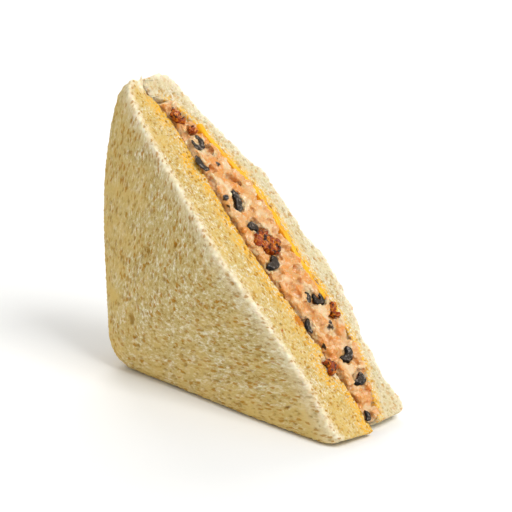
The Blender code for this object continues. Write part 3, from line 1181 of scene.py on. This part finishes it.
@dataclass
class CheeseSlice:
    """The cheese slice between the ham salad and the back slice."""

    node: bpy.types.Object
    face: float = 0.4 * MM

    def build(self, finish: bpy.types.Material) -> bpy.types.Object:
        """Builds the cheese.

        Args:
            finish: the cheese's material.

        Returns:
            The finished piece.
        """
        bm = thin_out(voxel_skin(merged_copy(self.node), self.face), between_layers)
        relax(bm, bm.verts, passes=3, factor=0.4)
        bm.normal_update()
        for vert in bm.verts:
            if not between_layers(vert):
                wave = lump(vert.co, 3.4 * MM, 1.0) + 0.5 * lump(vert.co, 1.4 * MM, 6.0)
                vert.co += vert.normal * 0.4 * MM * wave
        return finish_piece(bm, "cheese", finish, [self.node.name])


@dataclass
class OlivePiece:
    """An arc of a chopped olive ring, on the cut face, its place and sizes in mm."""

    node: bpy.types.Object
    station: float
    across: float
    ring: float
    flesh: float
    turns: tuple[float, float, float]
    face: float = 0.2 * MM

    def axis_frame(self) -> Matrix:
        """Gives the matrix from the ring's own space, round its Z, to the sandwich.

        Returns:
            The matrix.
        """
        stand = Matrix((DOWN_THE_CUT, ACROSS, CUT_NORMAL)).transposed().to_4x4()
        if stand.determinant() < 0:
            stand = stand @ Matrix.Scale(-1, 4, (1, 0, 0))
        at = point_on_cut(self.station, self.across * MM, 0.3 * self.flesh * MM)
        shift = Matrix.Translation((-0.6 * self.ring * MM, 0, 0))
        return Matrix.Translation(at) @ stand @ turned(*self.turns) @ shift

    def build(self, finish: bpy.types.Material) -> bpy.types.Object:
        """Builds the piece.

        Args:
            finish: the olive's material.

        Returns:
            The finished piece.
        """
        bm = voxel_skin(merged_copy(self.node), self.face)
        relax(bm, bm.verts, passes=3)
        bm.normal_update()
        layer = bm.verts.layers.float_color.new("olive")
        turn = self.axis_frame().inverted().to_3x3()
        for vert in bm.verts:
            facing = abs((turn @ vert.normal).z)
            ragged = 0.3 * lump(vert.co, 1.1 * MM, 2.0)
            vert[layer] = (smooth((0.84 - facing + ragged) / 0.22), 0.0, 0.0, 1.0)
            vert.co += vert.normal * 0.32 * MM * lump(vert.co, 1.5 * MM, 8.0)
        return finish_piece(bm, f"{self.node.name}_flesh", finish, [self.node.name])


@dataclass
class BaconPiece:
    """A curled scrap of fried bacon, on the cut face."""

    node: bpy.types.Object
    face: float = 0.2 * MM
    proud: float = 0.6 * MM

    def build(self, finish: bpy.types.Material) -> bpy.types.Object:
        """Builds the piece.

        Args:
            finish: the bacon's material.

        Returns:
            The finished piece.
        """
        bm = voxel_skin(merged_copy(self.node), self.face)
        relax(bm, bm.verts, passes=1)
        bm.normal_update()
        for vert in bm.verts:
            folds = 2.2 * abs(lump(vert.co, 2.3 * MM, 5.0)) - 0.6
            crinkle = folds + 0.4 * lump(vert.co, 0.8 * MM, 9.0)
            proud = self.proud * smooth(vert.normal.dot(CUT_NORMAL) + 0.3)
            vert.co += vert.normal * 0.7 * MM * crinkle + CUT_NORMAL * proud
        return finish_piece(bm, f"{self.node.name}_fried", finish, [self.node.name])


# The whole sandwich and its studio

# Olive pieces: station, distance across, ring radius, half width of the flesh (mm), then turns
OLIVES = (
    (-0.545, 4.4, 2.1, 1.15, (0, 0, 20)),
    (-0.453, 1.2, 4.2, 1.25, (10, 0, -75)),
    (-0.243, 3.4, 6.2, 1.35, (0, 10, 65)),
    (-0.090, 4.6, 2.2, 1.30, (20, 0, 150)),
    (0.090, 3.4, 2.4, 1.45, (0, -15, 30)),
    (0.296, 9.2, 1.7, 0.95, (10, 0, 60)),
    (0.330, 14.0, 1.7, 0.95, (0, 0, 0)),
    (0.421, 3.7, 3.4, 0.95, (0, 10, -110)),
    (0.606, 11.2, 2.1, 1.30, (10, 0, 30)),
    (0.722, 10.0, 2.4, 1.30, (0, -15, 25)),
    (0.888, 3.8, 1.6, 0.90, (0, 0, 60)),
)

# Spots on the bread's cut face: bacon fat, a crumb of bacon, a toasted pore, browned cheese
STAINS = (
    Stain(0.38, 0.5, 2.4, "C8701C"),
    Stain(0.39, -9.4, 0.55, "B0401C"),
    Stain(0.36, -8.2, 0.7, "8A6A2C"),
    Stain(0.93, 5.5, 1.5, "D98A24"),
)


@dataclass
class Sandwich:
    """The whole sandwich half."""

    nodes: dict[str, bpy.types.Object]
    pieces: list[bpy.types.Object] = field(default_factory=list)

    def build(self) -> None:
        """Builds every piece, from the bread inwards."""
        filling = [obj for name, obj in self.nodes.items() if not name.startswith("bread")]
        front = BreadSlice(Slice.FRONT, self.nodes["bread_front"], filling, stains=STAINS)
        self.pieces.append(front.build(BreadCrumb().material()))
        back = BreadSlice(
            Slice.BACK,
            self.nodes["bread_back"],
            filling,
            soak_reach=4.2 * MM,
            soak_least=0.0,
            ragged=0.85 * MM,
            facing=self.nodes["bread_front"],
        )
        # The slice behind is paler, with wider open cells and hardly any fat in it
        pale = BreadCrumb(
            wall="DACCA4",
            fibre="F4EEDC",
            hollow_shade="B8944C",
            side="DECCA0",
            soaked="F4BE40",
            speck="C88A28",
            speck_pitch=1.7 * MM,
            speck_least=0.55,
        )
        self.pieces.append(back.build(pale.material()))
        ham = HamSalad(self.nodes["ham_salad"])
        self.pieces.append(ham.build(HamInDressing().material()))
        cheese = CheeseSlice(self.nodes["cheese_slice"])
        self.pieces.append(cheese.build(YellowCheese().material()))
        olive = BlackOlive().material()
        for number, row in enumerate(OLIVES, 1):
            self.pieces.append(OlivePiece(self.nodes[f"olive_{number:02d}"], *row).build(olive))
        bacon = FriedBacon().material()
        for number in range(1, 6):
            self.pieces.append(BaconPiece(self.nodes[f"bacon_{number}"]).build(bacon))


@dataclass
class Studio:
    """A pale floor, soft light and the camera."""

    aim: Vector = field(default_factory=lambda: SQUARE_CORNER + Vector((38, 0, 38)) * MM)
    azimuth: float = 36.57
    elevation: float = 18.87
    roll: float = 3.75
    distance: float = 0.7
    lens: float = 154.5
    sensor: float = 36.0
    shift: tuple[float, float] = (0.0669, 0.0385)
    floor_size: float = 6.0
    surround: float = 0.56

    def build(self) -> None:
        """Builds the floor, the lights and the camera."""
        self.lay_floor()
        self.light()
        self.place_camera()
        scene = bpy.context.scene
        scene.view_settings.view_transform = "Standard"
        scene.view_settings.look = "None"

    def lay_floor(self) -> None:
        """Lays a sheet of matt white studio paper."""
        bm = bmesh.new()
        bmesh.ops.create_grid(bm, x_segments=1, y_segments=1, size=self.floor_size / 2)
        mesh = bpy.data.meshes.new("floor")
        bm.to_mesh(mesh)
        bm.free()
        material, _ = new_material("studio_paper", Base_Color=linear("F7F7F5"), Roughness=0.9)
        mesh.materials.append(material)
        floor = bpy.data.objects.new("floor", mesh)
        bpy.context.scene.collection.objects.link(floor)

    def light(self) -> None:
        """Hangs a soft key light above the cut and a weaker one behind, in an even surround."""
        world = bpy.data.worlds.new("surround")
        world.use_nodes = True
        background = world.node_tree.nodes["Background"]
        background.inputs["Color"].default_value = (1, 1, 1, 1)
        background.inputs["Strength"].default_value = self.surround
        bpy.context.scene.world = world
        self.hang_light("key", Vector((0.75, -0.05, 1.1)), size=0.6, power=10.8)
        self.hang_light("back", Vector((-0.9, 0.9, 0.8)), size=0.8, power=8.0)

    def hang_light(self, name: str, towards: Vector, size: float, power: float) -> None:
        """Hangs a square area light that looks at the sandwich.

        Args:
            name: the light's name.
            towards: where it hangs from the aim, in metres.
            size: its side, in metres.
            power: its power, in watts.
        """
        data = bpy.data.lights.new(name, "AREA")
        data.shape, data.size, data.energy = "SQUARE", size, power
        lamp = bpy.data.objects.new(name, data)
        turn = towards.to_track_quat("Z", "Y").to_matrix().to_4x4()
        lamp.matrix_world = Matrix.Translation(self.aim + towards) @ turn
        bpy.context.scene.collection.objects.link(lamp)

    def place_camera(self) -> None:
        """Puts the camera at the photograph's viewing angle."""
        azimuth, elevation = math.radians(self.azimuth), math.radians(self.elevation)
        roll = math.radians(self.roll)
        back = Vector(
            (
                math.sin(azimuth) * math.cos(elevation),
                -math.cos(azimuth) * math.cos(elevation),
                math.sin(elevation),
            )
        )
        right = Vector((0, 0, 1)).cross(back).normalized()
        up = back.cross(right)
        across = math.cos(roll) * right + math.sin(roll) * up
        upright = -math.sin(roll) * right + math.cos(roll) * up
        data = bpy.data.cameras.new("camera")
        data.lens, data.sensor_width = self.lens, self.sensor
        data.shift_x, data.shift_y = self.shift
        data.clip_start, data.clip_end = 0.01, 20.0
        camera = bpy.data.objects.new("camera", data)
        turn = Matrix((across, upright, back)).transposed().to_4x4()
        camera.matrix_world = Matrix.Translation(self.aim + back * self.distance) @ turn
        bpy.context.scene.collection.objects.link(camera)
        bpy.context.scene.camera = camera


def main() -> None:
    """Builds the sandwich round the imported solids."""
    logging.basicConfig(level=logging.INFO, format="%(name)s: %(message)s")
    noise.seed_set(NOISE_SEED)
    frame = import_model()
    Sandwich(frame["nodes"]).build()
    Studio().build()


if __name__ == "__main__":
    main()
